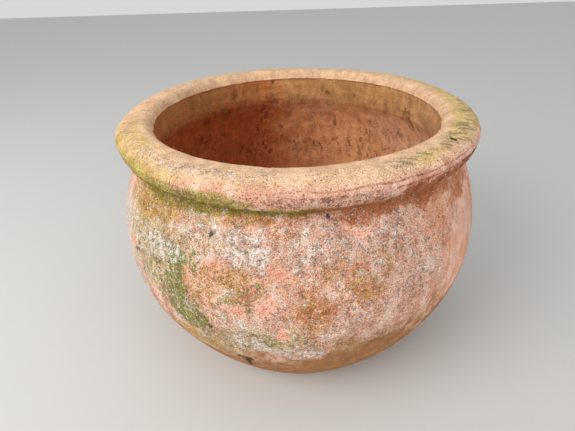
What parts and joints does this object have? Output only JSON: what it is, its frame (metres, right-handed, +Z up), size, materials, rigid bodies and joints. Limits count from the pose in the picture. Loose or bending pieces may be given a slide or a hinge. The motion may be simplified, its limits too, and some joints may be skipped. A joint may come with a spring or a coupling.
{
  "type": "terracotta pot",
  "caption": "Wide round-bellied plant pot of fired red clay, with a thick rolled rim over a recessed neck, an open bowl and a drain hole in a flat floor.",
  "frame": {"origin": "centre of the flat base, on the surface the pot stands on", "axes": "+Z up along the axis of the pot, out of its mouth; +X to the right and +Y away, seen from the front"},
  "size_m": [0.338, 0.338, 0.23],
  "materials": {
    "floor_clay": "matt unglazed fired clay, ochre-brown, lightly sanded by use",
    "belly_clay": "matt unglazed fired clay, salmon pink, with white lime bloom, green algae and dark soil stains",
    "neck_clay": "matt unglazed fired clay, damp red-brown inside the mouth, green moss in the outer recess",
    "rim_clay": "matt unglazed fired clay, sun-bleached yellow ochre on top, pink-brown on its outer face, with grey mildew streaks"
  },
  "bodies": {
    "root": {"floor_bat": "floor_clay", "belly_wall": "belly_clay", "neck_ring": "neck_clay", "rim_roll": "rim_clay"}
  },
  "joints": []
}
